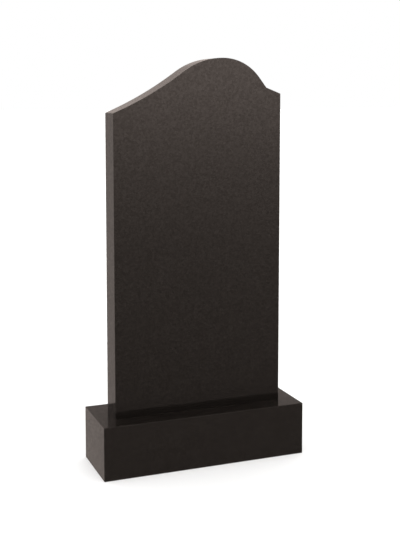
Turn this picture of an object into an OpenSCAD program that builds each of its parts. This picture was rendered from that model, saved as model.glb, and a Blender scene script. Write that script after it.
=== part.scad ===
// Upright memorial headstone of polished granite, in millimetres.
// A flat stele with an off-centre wave crest stands by its own weight on a
// rectangular plinth. X runs along the plinth, the inscription face looks
// towards -Y, and Z = 0 is the bed that the plinth rests on.

/* [Plinth] */
// Length of the plinth, left to right
plinth_length = 600; // [560:10:1200]
// Depth of the plinth, front to back
plinth_depth = 200; // [120:10:400]
// Height of the plinth
plinth_height = 150; // [80:5:300]

/* [Stele] */
// Width of the stele, left to right
stele_width = 500; // [400:10:560]
// Thickness of the stele, front to back
stele_thickness = 80; // [50:5:110]
// Height of the stele, from the plinth's top to its highest point
stele_height = 1000; // [500:10:1600]

/* [Crest] */
// Distance of the highest point from the stele's middle, to the right
peak_shift = 73; // [40:1:90]
// How far the left top corner lies below the highest point
left_drop = 153; // [120:1:240]
// How far the right top corner lies below the highest point
right_drop = 100; // [85:1:150]
// Radius of the hollow sweep that climbs from the left corner
sweep_radius = 1000; // [600:10:2000]
// Radius of the rounded rise, left of the highest point
rise_radius = 200; // [120:5:240]
// Radius of the rounded fall, right of the highest point
fall_radius = 139; // [100:1:160]
// Steepest slope of the fall, in degrees, at which it runs straight into the notch
fall_angle = 52; // [45:1:65]
// Slope of the straight shoulder between the notch and the right corner, in degrees
shoulder_angle = 21; // [5:1:24]

/* [Finish] */
// Width of the bevel along the polished arrises
arris = 1; // [1:0.5:5]

/* [Hidden] */

polished_black = [0.20, 0.18, 0.165];

// Flat steps that each curve of the crest is cut into, fine enough to stray under 0.05
sweep_steps = 14;
rise_steps = 16;
fall_steps = 18;

// How far the stele's blank runs on below its sawn foot
spare = 20;

half_width = stele_width / 2;
half_thickness = stele_thickness / 2;
left_corner = [-half_width, stele_height - left_drop];
right_corner = [half_width, stele_height - right_drop];
peak = [peak_shift, stele_height];

// The rise and the fall share the highest point, so they meet there without a kink
rise_centre = peak - [0, rise_radius];
fall_centre = peak - [0, fall_radius];

// The sweep starts at the left corner and touches the rise from outside. The two centres
// and the corner make a triangle of known sides, whose angle at the rise's centre gives
// the direction of the point where they touch, in degrees from the right.
to_corner = left_corner - rise_centre;
to_sweep = rise_radius + sweep_radius;
triangle_angle = acos(
  (pow(norm(to_corner), 2) + pow(to_sweep, 2) - pow(sweep_radius, 2))
  / (2 * norm(to_corner) * to_sweep)
);
touch_angle = atan2(to_corner.y, to_corner.x) - triangle_angle;
sweep_centre = rise_centre + to_sweep * direction(touch_angle);

function direction(angle) = [cos(angle), sin(angle)];

// Points along an arc, from one angle to another
function arc(centre, radius, from, to, steps) = [
  for (i = [0:steps]) centre + radius * direction(from + (to - from) * i / steps)
];

// Where a line through a point, falling at an angle, has a given x
function height_at(point, angle, x) = point.y - (x - point.x) * tan(angle);

// Where two falling lines cross
function crossing(p, p_angle, q, q_angle) =
  let(x = (q.y - p.y + q.x * tan(q_angle) - p.x * tan(p_angle)) / (tan(q_angle) - tan(p_angle)))
  [x, height_at(p, p_angle, x)];

// The stele's outline from its left foot over the crest to its right foot, drawn in from
// every edge by the inset. It runs on below the foot, where the stone is sawn off square.
function outline(inset) =
  let(
    side = half_width - inset,
    hollow = sweep_radius + inset,
    corner_angle = -acos((-side - sweep_centre.x) / hollow),
    run_start = fall_centre + (fall_radius - inset) * direction(90 - fall_angle),
    shoulder_point = right_corner - inset * direction(90 - shoulder_angle)
  )
  concat(
    [[-side, -spare]],
    arc(sweep_centre, hollow, corner_angle, touch_angle - 180, sweep_steps),
    [for (i = [1:rise_steps])
      rise_centre
      + (rise_radius - inset) * direction(touch_angle + (90 - touch_angle) * i / rise_steps)],
    [for (i = [1:fall_steps])
      fall_centre + (fall_radius - inset) * direction(90 - fall_angle * i / fall_steps)],
    [
      crossing(run_start, fall_angle, shoulder_point, shoulder_angle),
      [side, height_at(shoulder_point, shoulder_angle, side)],
      [side, -spare]
    ]
  );

// Box whose three pairs of faces meet in bevelled arrises
module bevelled_block(size) {
  intersection() {
    linear_extrude(size.z, center = true) bevelled_rectangle(size.x, size.y);
    rotate([90, 0, 0])
      linear_extrude(size.y, center = true) bevelled_rectangle(size.x, size.z);
    rotate([90, 0, 90])
      linear_extrude(size.x, center = true) bevelled_rectangle(size.y, size.z);
  }
}

module bevelled_rectangle(width, height) {
  x = width / 2;
  y = height / 2;
  polygon([
    [arris - x, -y], [x - arris, -y], [x, arris - y], [x, y - arris],
    [x - arris, y], [arris - x, y], [-x, y - arris], [-x, arris - y]
  ]);
}

// Slab with the stele's outline, standing up, with its front and back edges bevelled.
// It is skinned over four rings: the front face, the two edges of the side, the back face.
module bevelled_slab() {
  rings = [
    for (ring = [
      [-half_thickness, arris], [arris - half_thickness, 0],
      [half_thickness - arris, 0], [half_thickness, arris]
    ])
      [for (point = outline(ring[1])) [point.x, ring[0], point.y]]
  ];
  count = len(rings[0]);
  last = 3 * count;
  polyhedron(
    points = concat(rings[0], rings[1], rings[2], rings[3]),
    faces = concat(
      [[for (i = [count - 1:-1:0]) i]],
      [for (ring = [0:2], i = [0:count - 1])
        let(a = ring * count + i, b = ring * count + (i + 1) % count)
        [a, b, b + count, a + count]],
      [[for (i = [0:count - 1]) last + i]]
    )
  );
}

module stele() {
  color(polished_black)
    translate([0, 0, plinth_height])
      intersection() {
        bevelled_slab();
        translate([-stele_width, -stele_thickness, 0])
          cube([2 * stele_width, 2 * stele_thickness, 2 * stele_height]);
      }
}

module plinth() {
  color(polished_black)
    translate([0, 0, plinth_height / 2])
      bevelled_block([plinth_length, plinth_depth, plinth_height]);
}

plinth();
stele();
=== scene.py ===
"""Upright memorial headstone of polished near-black granite, on its plinth.

Lengths are in metres. X runs along the plinth, the inscription face looks
towards -Y, and Z = 0 is the bed that the plinth rests on.
"""

import math

import bmesh
import bpy
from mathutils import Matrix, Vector


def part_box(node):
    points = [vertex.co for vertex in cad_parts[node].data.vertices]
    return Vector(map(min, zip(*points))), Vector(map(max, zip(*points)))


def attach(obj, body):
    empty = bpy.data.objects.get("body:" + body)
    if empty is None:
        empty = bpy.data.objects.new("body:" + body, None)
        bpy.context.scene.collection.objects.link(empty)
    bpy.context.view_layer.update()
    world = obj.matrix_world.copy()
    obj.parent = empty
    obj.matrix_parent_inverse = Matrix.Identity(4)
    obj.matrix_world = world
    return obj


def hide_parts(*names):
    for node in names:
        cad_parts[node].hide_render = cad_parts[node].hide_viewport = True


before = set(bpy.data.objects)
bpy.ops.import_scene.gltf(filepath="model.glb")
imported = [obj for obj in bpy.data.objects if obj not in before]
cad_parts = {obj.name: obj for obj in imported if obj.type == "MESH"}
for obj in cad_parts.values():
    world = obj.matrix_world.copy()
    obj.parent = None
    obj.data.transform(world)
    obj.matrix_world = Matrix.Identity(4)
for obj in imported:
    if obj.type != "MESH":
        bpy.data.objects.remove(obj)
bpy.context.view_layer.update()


# ---------------------------------------------------------------------------
# Plinth: the squared block of near-black granite that carries the stele. Its
# top and four sides are polished and its arrises eased by hand. Underneath,
# where it beds on the foundation, it keeps the saw's marks.
# ---------------------------------------------------------------------------

ARRIS = 0.001
CRISP_ANGLE = math.radians(12)
PLINTH_TURN = (0.31, 0.17, 0.0)

BLACK_PYROXENE = (0.0069, 0.0056, 0.0047, 1.0)
BROWN_PYROXENE = (0.0100, 0.0078, 0.0065, 1.0)
GREY_FELDSPAR = (0.0175, 0.0149, 0.0130, 1.0)
SAWN_DARK = (0.060, 0.057, 0.054, 1.0)
SAWN_PALE = (0.135, 0.130, 0.124, 1.0)

# Pattern scales, in features to the metre
FINE_GRAINS = 480.0
COARSE_GRAINS = 170.0
LATHS = 640.0
HAZE = 900.0
CLOUDS = 14.0
SWELL = 130.0
KERFS = 46.0

# How the laths are squeezed and leant, how the patterns are cut and mixed, and how far in
# front of the stone the saw's arcs have their centre
LATH_RUNS = (((1.0, 0.34, 0.8), 0.5), ((0.34, 0.9, 1.0), 2.1))
LATH_CUT = (0.80, 0.96)
CLOUD_CUT = (0.25, 0.70)
FINE_SHARE = 0.55
LEAST_FELDSPAR = 0.45
KERF_SHIFT = (0.0, 2.4, 0.0)

# Depths of the relief that the polish and the saw leave
GRAIN_DEPTH, HAZE_DEPTH, SWELL_DEPTH = 0.000010, 0.000008, 0.000060
KERF_DEPTH, PLUCKED_DEPTH = 0.000080, 0.000070

# The roughness of the best polish, and what each thing that spoils it adds
POLISHED_ROUGHNESS = 0.055
GRAIN_ROUGHNESS, FELDSPAR_ROUGHNESS, CLOUD_ROUGHNESS = 0.030, 0.035, 0.015
CREST_ROUGHNESS = 0.225
CREST_FROM = 0.9
SAWN_ROUGHNESS = 0.72

# The upward part of a face's direction, from 1 on top to -1 underneath
FACING_UP = (0.1, 0.3)
FACING_DOWN = -0.95

STONE_IOR = 1.44
SHEEN_TINT = (1.0, 0.95, 0.92, 1.0)
GRAIN_SHINE = 0.32
SHINE_IOR = 1.5
SHINE_ROUGHNESS = 0.07


class Wire:
    """The output of one shader node. Sums and products of wires add Math nodes."""

    def __init__(self, tree, socket=None):
        self.tree = tree
        self.socket = socket

    def node(self, kind, settings, inputs, output=None):
        """Adds a node: its settings first, then values or wires for its sockets.

        Gives its first output, or the one with the identifier that output names.
        """
        made = self.tree.nodes.new(kind)
        for name, setting in settings.items():
            if name == "stops":
                ramp = made.color_ramp
                while len(ramp.elements) < len(setting):
                    ramp.elements.new(1.0)
                for stop, (position, colour) in zip(ramp.elements, setting):
                    stop.position = position
                    stop.color = colour
            else:
                setattr(made, name, setting)
        sockets = {socket.identifier: socket for socket in made.inputs}
        for name, value in inputs.items():
            if isinstance(value, Wire):
                self.tree.links.new(value.socket, sockets[name])
            else:
                sockets[name].default_value = value
        found = [socket for socket in made.outputs if output in (None, socket.identifier)]
        return Wire(self.tree, found[0] if found else None)

    def maths(self, operation, *terms):
        places = ("Value", "Value_001", "Value_002")
        return self.node("ShaderNodeMath", {"operation": operation}, dict(zip(places, terms)))

    def __add__(self, other):
        return self.maths("ADD", self, other)

    def __radd__(self, other):
        return self.maths("ADD", other, self)

    def __sub__(self, other):
        return self.maths("SUBTRACT", self, other)

    def __rsub__(self, other):
        return self.maths("SUBTRACT", other, self)

    def __mul__(self, other):
        return self.maths("MULTIPLY", self, other)

    def __rmul__(self, other):
        return self.maths("MULTIPLY", other, self)

    def __lt__(self, other):
        return self.maths("LESS_THAN", self, other)

    def between(self, low, high):
        """0 below low, 1 above high, and a smooth step from one to the other."""
        settings = {"interpolation_type": "SMOOTHSTEP"}
        inputs = {"Value": self, "From Min": low, "From Max": high}
        return self.node("ShaderNodeMapRange", settings, inputs)

    def mixed(self, first, second):
        """first where this wire is 0, second where it is 1, as colours."""
        settings = {"data_type": "RGBA"}
        inputs = {"Factor_Float": self, "A_Color": first, "B_Color": second}
        return self.node("ShaderNodeMix", settings, inputs, "Result_Color")

    def part(self, name):
        """One part of this colour, Red, Green or Blue, as a number."""
        return self.node("ShaderNodeSeparateColor", {}, {"Color": self}, name)

    def upwards(self):
        """The Z of this vector."""
        return self.node("ShaderNodeSeparateXYZ", {}, {"Vector": self}, "Z")

    def crystals(self, scale):
        """Cells of flat random colour, laid out over the place that this wire gives."""
        return self.node("ShaderNodeTexVoronoi", {}, {"Vector": self, "Scale": scale}, "Color")

    def noise(self, scale, detail, roughness):
        """Soft blotches, laid out over the place that this wire gives."""
        inputs = {"Vector": self, "Scale": scale, "Detail": detail, "Roughness": roughness}
        return self.node("ShaderNodeTexNoise", {}, inputs)


def granite(name, turn):
    """Near-black gabbro, sold as black granite: polished, but left as sawn where it faces down.

    turn sets the grain of each block its own way, as if cut from another place.
    """
    material = bpy.data.materials.new(name)
    material.use_nodes = True
    material.node_tree.nodes.clear()
    start = Wire(material.node_tree)
    place = start.node("ShaderNodeTexCoord", {}, {}, "Object")
    block = start.node("ShaderNodeMapping", {}, {"Vector": place, "Location": turn, "Rotation": turn})

    # Interlocking crystals about 2 mm and 6 mm across, and feldspar laths drawn out along
    # two directions
    grain_tone = block.crystals(FINE_GRAINS).part("Red")
    coarse_tone = block.crystals(COARSE_GRAINS).part("Green")
    laths = []
    for squeeze, lean in LATH_RUNS:
        run = {"Vector": block, "Rotation": (lean, lean * 0.7, lean * 1.3), "Scale": squeeze}
        drawn = start.node("ShaderNodeMapping", {}, run)
        laths.append(drawn.crystals(LATHS).part("Blue").between(*LATH_CUT))
    lath = start.maths("MAXIMUM", *laths)
    haze = block.noise(HAZE, detail=2.0, roughness=0.6)
    clouds = block.noise(CLOUDS, detail=3.0, roughness=0.55)
    swell = block.noise(SWELL, detail=1.0, roughness=0.5)

    tone = FINE_SHARE * grain_tone + (1 - FINE_SHARE) * coarse_tone
    ground = tone.mixed(BLACK_PYROXENE, BROWN_PYROXENE)
    feldspar = lath * (LEAST_FELDSPAR + (1 - LEAST_FELDSPAR) * coarse_tone)
    feldspar = feldspar * (LEAST_FELDSPAR + (1 - LEAST_FELDSPAR) * clouds.between(*CLOUD_CUT))
    polished_colour = feldspar.mixed(ground, GREY_FELDSPAR)

    # The bed is as the frame saw left it: shallow arcs across a dull, paler face
    flattened = {"Vector": place, "Location": KERF_SHIFT, "Scale": (1.0, 1.0, 0.0)}
    kerf_place = start.node("ShaderNodeMapping", {}, flattened)
    kerfs = start.node(
        "ShaderNodeTexWave",
        {"wave_type": "RINGS", "rings_direction": "Z", "wave_profile": "SIN"},
        {"Vector": kerf_place, "Scale": KERFS, "Distortion": 1.2, "Detail": 2.0, "Detail Scale": 3.0},
        "Fac",
    )
    sawn_tone = 0.45 * haze + 0.30 * grain_tone + 0.25 * kerfs
    sawn_colour = sawn_tone.mixed(SAWN_DARK, SAWN_PALE)

    # The shaped top edge of the stele takes a softer polish than a flat face does
    uprightness = start.node("ShaderNodeTexCoord", {}, {}, "Normal").upwards()
    sawn = uprightness < FACING_DOWN
    crest = uprightness.between(*FACING_UP) * (1.0 - (place.upwards() < CREST_FROM))
    gloss = POLISHED_ROUGHNESS + GRAIN_ROUGHNESS * grain_tone + FELDSPAR_ROUGHNESS * feldspar
    gloss = gloss + CLOUD_ROUGHNESS * clouds + CREST_ROUGHNESS * crest

    polished_relief = GRAIN_DEPTH * grain_tone + HAZE_DEPTH * haze + SWELL_DEPTH * swell
    sawn_relief = KERF_DEPTH * kerfs + PLUCKED_DEPTH * haze
    relief = (1.0 - sawn) * polished_relief + sawn * sawn_relief
    surface = start.node("ShaderNodeBump", {}, {"Strength": 1.0, "Distance": 1.0, "Height": relief})

    # Some crystals come up brighter under the polish, which a coat of varying weight gives
    stone = start.node(
        "ShaderNodeBsdfPrincipled",
        {},
        {
            "Base Color": sawn.mixed(polished_colour, sawn_colour),
            "Roughness": gloss + sawn * (SAWN_ROUGHNESS - gloss),
            "Normal": surface,
            "IOR": STONE_IOR,
            "Specular Tint": SHEEN_TINT,
            "Coat Weight": GRAIN_SHINE * coarse_tone * (1.0 - sawn),
            "Coat Roughness": SHINE_ROUGHNESS,
            "Coat IOR": SHINE_IOR,
        },
    )
    start.node("ShaderNodeOutputMaterial", {}, {"Surface": stone})
    return material


def eased(shape, edges):
    """Takes the arrises off some edges, flat, at 45 degrees to the faces beside them."""
    bmesh.ops.recalc_face_normals(shape, faces=shape.faces)
    bmesh.ops.bevel(
        shape,
        geom=edges,
        offset=ARRIS,
        offset_type="OFFSET",
        affect="EDGES",
        segments=1,
        profile=0.5,
        material=-1,
        clamp_overlap=True,
    )


def finished(name, shape, node, turn):
    """Turns a shape into a piece that replaces a node, shaded round but crisp at its arrises."""
    bmesh.ops.recalc_face_normals(shape, faces=shape.faces)
    for face in shape.faces:
        face.smooth = True
    for edge in shape.edges:
        edge.smooth = edge.calc_face_angle() < CRISP_ANGLE
    mesh = bpy.data.meshes.new(name)
    shape.to_mesh(mesh)
    shape.free()
    slot = node + "_granite"
    mesh.materials.append(granite(slot, turn))
    piece = bpy.data.objects.new(name, mesh)
    bpy.context.scene.collection.objects.link(piece)
    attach(piece, "root")
    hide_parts(node)


plinth_low, plinth_high = (Vector(corner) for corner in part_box("plinth"))
plinth_shape = bmesh.new()
bmesh.ops.create_cube(plinth_shape, size=1.0)
bmesh.ops.scale(plinth_shape, vec=plinth_high - plinth_low, verts=plinth_shape.verts)
bmesh.ops.translate(plinth_shape, vec=(plinth_low + plinth_high) / 2, verts=plinth_shape.verts)
eased(plinth_shape, plinth_shape.edges[:])
finished("plinth_block", plinth_shape, "plinth", PLINTH_TURN)


# ---------------------------------------------------------------------------
# Stele: the upright slab of the same granite for the inscription, profiled with
# a wave: a hollow sweep climbs to a rounded crest, which falls into a notch by a
# sloping shoulder. It is polished all round and stands on its square-sawn foot.
# ---------------------------------------------------------------------------

PEAK_SHIFT = 0.073
LEFT_DROP = 0.153
RIGHT_DROP = 0.100
SWEEP_RADIUS = 1.000
RISE_RADIUS = 0.200
FALL_RADIUS = 0.139
FALL_ANGLE = math.radians(52)
SHOULDER_ANGLE = math.radians(21)
SWEEP_STEPS = 28
RISE_STEPS = 30
FALL_STEPS = 36
CLOCKWISE = (0.0, 1.0, 0.0)
ANTICLOCKWISE = (0.0, -1.0, 0.0)
SAME_POINT = 0.00001
STELE_TURN = (-0.23, 0.41, 0.12)

stele_low, stele_high = (Vector(corner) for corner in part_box("stele"))


def on_front(x, z):
    """A point of the inscription face's plane."""
    return Vector((x, stele_low.y, z))


left_corner = on_front(stele_low.x, stele_high.z - LEFT_DROP)
right_corner = on_front(stele_high.x, stele_high.z - RIGHT_DROP)
rise_centre = on_front(PEAK_SHIFT, stele_high.z - RISE_RADIUS)
fall_centre = on_front(PEAK_SHIFT, stele_high.z - FALL_RADIUS)

# The sweep touches the rise from outside: the left corner and the two centres make a
# triangle of known sides, which gives the direction from the rise's centre to the touch
to_corner = left_corner - rise_centre
between_centres = RISE_RADIUS + SWEEP_RADIUS
triangle_angle = math.acos(
    (to_corner.length_squared + between_centres**2 - SWEEP_RADIUS**2)
    / (2 * to_corner.length * between_centres)
)
touch_angle = math.atan2(to_corner.z, to_corner.x) - triangle_angle
towards_touch = Vector((math.cos(touch_angle), 0.0, math.sin(touch_angle)))
sweep_centre = rise_centre + between_centres * towards_touch
sweep_start = math.atan2(left_corner.z - sweep_centre.z, left_corner.x - sweep_centre.x)
sweep_angle = touch_angle - math.pi - sweep_start

stele_shape = bmesh.new()


def run_to(point, end):
    """Draws the outline on from its last point, straight to an end."""
    drawn = bmesh.ops.extrude_vert_indiv(stele_shape, verts=[point])
    bmesh.ops.translate(stele_shape, vec=end - point.co, verts=drawn["verts"])
    return drawn["verts"][0]


def turn_about(point, centre, axis, angle, steps):
    """Draws the outline on along an arc and returns its new last point."""
    drawn = bmesh.ops.spin(
        stele_shape, geom=[point], cent=centre, axis=axis, dvec=(0.0, 0.0, 0.0), angle=angle, steps=steps
    )
    return drawn["geom_last"][0]


left_foot = stele_shape.verts.new(on_front(stele_low.x, stele_low.z))
point = run_to(left_foot, left_corner)
point = turn_about(point, sweep_centre, ANTICLOCKWISE, sweep_angle, SWEEP_STEPS)
point = turn_about(point, rise_centre, CLOCKWISE, touch_angle - math.pi / 2, RISE_STEPS)
point = turn_about(point, fall_centre, CLOCKWISE, FALL_ANGLE, FALL_STEPS)

# The fall's straight run and the shoulder cross in the notch
fall_slope = math.tan(FALL_ANGLE)
shoulder_slope = math.tan(SHOULDER_ANGLE)
notch_x = (
    point.co.z - right_corner.z + fall_slope * point.co.x - shoulder_slope * right_corner.x
) / (fall_slope - shoulder_slope)
point = run_to(point, on_front(notch_x, right_corner.z + shoulder_slope * (right_corner.x - notch_x)))
point = run_to(point, right_corner)
right_foot = run_to(point, on_front(stele_high.x, stele_low.z))
stele_shape.edges.new((right_foot, left_foot))
bmesh.ops.remove_doubles(stele_shape, verts=stele_shape.verts, dist=SAME_POINT)
bmesh.ops.edgeloop_fill(stele_shape, edges=stele_shape.edges)
slab = bmesh.ops.extrude_face_region(stele_shape, geom=stele_shape.faces[:])
slab_back = [part for part in slab["geom"] if isinstance(part, bmesh.types.BMVert)]
thickness = stele_high.y - stele_low.y
bmesh.ops.translate(stele_shape, vec=(0.0, thickness, 0.0), verts=slab_back)

# The foot stays sharp so that its joint closes, and so does the notch's inner corner
arrises = []
for edge in stele_shape.edges:
    first, last = (end.co for end in edge.verts)
    above_foot = max(first.z, last.z) > stele_low.z + ARRIS
    round_a_face = abs(first.y - last.y) < ARRIS
    at_corner = abs(first.x) > notch_x + ARRIS and edge.calc_face_angle() > CRISP_ANGLE
    if above_foot and (round_a_face or at_corner):
        arrises.append(edge)
eased(stele_shape, arrises)
finished("stele_slab", stele_shape, "stele", STELE_TURN)


# ---------------------------------------------------------------------------
# Studio: a pale floor in a white room under plain soft light. The polished faces
# mirror a soft glow that is brightest at the horizon on the inscription's side,
# and high up behind it, and gets weaker towards the floor.
# ---------------------------------------------------------------------------

FLOOR_REACH = 60.0
FLOOR_PALE = (0.745, 0.740, 0.735, 1.0)
FLOOR_LIFT = 0.18
WHITE = (1.0, 1.0, 1.0, 1.0)
ROOM_LOW, ROOM_TOP = 0.33, 2.75
GLOW_TINT = (1.0, 0.865, 0.80, 1.0)
KEY_SIDE = (0.352, -0.936, 0.0)
RIGHT_SIDE = (0.72, 0.69, 0.0)
LEFT_SIDE = (-0.93, -0.37, 0.0)
LEFT_SHARE = 0.25
SIDE_SPREAD = (0.35, 1.0)

# The glow's brightness by elevation in degrees: on the inscription's side, behind it, and
# added at the two ends of the stone
LOWEST, HIGHEST = -30.0, 60.0
KEY_GLOW = (
    (-30.0, 0.24), (-17.5, 0.24), (-15.4, 0.28), (-11.8, 0.37), (-8.5, 0.48), (-5.0, 0.75),
    (-2.6, 1.06), (1.3, 1.80), (4.0, 2.10), (8.0, 1.30), (12.0, 0.42), (17.0, 0.20),
    (21.0, 0.20), (34.0, 0.45), (60.0, 0.50),
)
BACK_GLOW = (
    (-30.0, 0.385), (-1.0, 0.385), (3.0, 0.46), (8.0, 0.78), (13.0, 0.92), (16.0, 0.43), (18.0, 0.27),
    (21.0, 0.26), (25.0, 1.30), (32.0, 3.00), (60.0, 3.00),
)
END_GLOW = ((-30.0, 0.45), (-5.0, 0.55), (4.0, 0.60), (10.0, 0.0), (60.0, 0.0))

floor_shape = bmesh.new()
bmesh.ops.create_grid(floor_shape, x_segments=1, y_segments=1, size=FLOOR_REACH)
floor_mesh = bpy.data.meshes.new("floor")
floor_shape.to_mesh(floor_mesh)
floor_shape.free()
floor = bpy.data.objects.new("floor", floor_mesh)
bpy.context.scene.collection.objects.link(floor)
floor.visible_glossy = False
floor_material = bpy.data.materials.new("pale_floor")
floor_material.use_nodes = True
floor_paint = floor_material.node_tree.nodes["Principled BSDF"]
floor_paint.inputs["Base Color"].default_value = FLOOR_PALE
floor_paint.inputs["Roughness"].default_value = 1.0
floor_paint.inputs["Specular IOR Level"].default_value = 0.0
floor_paint.inputs["Emission Color"].default_value = WHITE
floor_paint.inputs["Emission Strength"].default_value = FLOOR_LIFT
floor_mesh.materials.append(floor_material)

world = bpy.data.worlds.new("studio")
bpy.context.scene.world = world
world.use_nodes = True
world.cycles.sampling_method = "NONE"
world.node_tree.nodes.clear()
sky = Wire(world.node_tree)
direction = sky.node("ShaderNodeTexCoord", {}, {}, "Generated")
rise = direction.upwards()
elevation = sky.maths("ARCSINE", rise) * (180 / math.pi)
level = (elevation - LOWEST) * (1 / (HIGHEST - LOWEST))
flat = {"Vector": direction, "Vector_001": (1.0, 1.0, 0.0)}
along = sky.node("ShaderNodeVectorMath", {"operation": "MULTIPLY"}, flat)
heading = sky.node("ShaderNodeVectorMath", {"operation": "NORMALIZE"}, {"Vector": along})


def facing(side):
    """How far the heading turns towards a side: 1 straight towards it, -1 away from it."""
    pair = {"Vector": heading, "Vector_001": side}
    return sky.node("ShaderNodeVectorMath", {"operation": "DOT_PRODUCT"}, pair, "Value")


def glow(steps):
    """Brightness by elevation, from a list of (degrees, brightness)."""
    stops = []
    for angle, bright in steps:
        stops.append(((angle - LOWEST) / (HIGHEST - LOWEST), (bright, bright, bright, 1.0)))
    return sky.node("ShaderNodeValToRGB", {"stops": stops}, {"Fac": level}).part("Red")


key_share = (0.5 + 0.5 * facing(KEY_SIDE)).between(0.0, 1.0)
end_share = facing(RIGHT_SIDE).between(*SIDE_SPREAD) + LEFT_SHARE * facing(LEFT_SIDE).between(*SIDE_SPREAD)
mirrored = key_share * glow(KEY_GLOW) + (1.0 - key_share) * glow(BACK_GLOW) + end_share * glow(END_GLOW)
mirror_light = sky.node("ShaderNodeBackground", {}, {"Color": GLOW_TINT, "Strength": mirrored})
room = ROOM_LOW + (ROOM_TOP - ROOM_LOW) * rise * rise
room_light = sky.node("ShaderNodeBackground", {}, {"Color": WHITE, "Strength": room})
surround = sky.node("ShaderNodeBackground", {}, {"Color": WHITE, "Strength": 1.0})
seen = sky.node("ShaderNodeLightPath", {}, {}, "Is Camera Ray")
glancing = sky.node("ShaderNodeLightPath", {}, {}, "Is Glossy Ray")
lights = {"Fac": glancing, "Shader": room_light, "Shader_001": mirror_light}
lit = sky.node("ShaderNodeMixShader", {}, lights)
shown = sky.node("ShaderNodeMixShader", {}, {"Fac": seen, "Shader": lit, "Shader_001": surround})
sky.node("ShaderNodeOutputWorld", {}, {"Surface": shown})
bpy.context.scene.view_settings.view_transform = "Standard"


# ---------------------------------------------------------------------------
# Camera: stands in front of the headstone, to its left, a little below the
# crest's height, and looks slightly down.
# ---------------------------------------------------------------------------

EYE = (-0.982, -2.564, 1.048)
LOOKING_DOWN = 0.0895
TURNED_RIGHT = 0.3715

lens = bpy.data.cameras.new("camera")
lens.sensor_width = 36.0
lens.lens = 65.45
lens.shift_y = -0.16
lens.clip_end = 200.0
camera = bpy.data.objects.new("camera", lens)
camera.location = EYE
camera.rotation_euler = (math.pi / 2 - LOOKING_DOWN, 0.0, -TURNED_RIGHT)
bpy.context.scene.collection.objects.link(camera)
bpy.context.scene.camera = camera
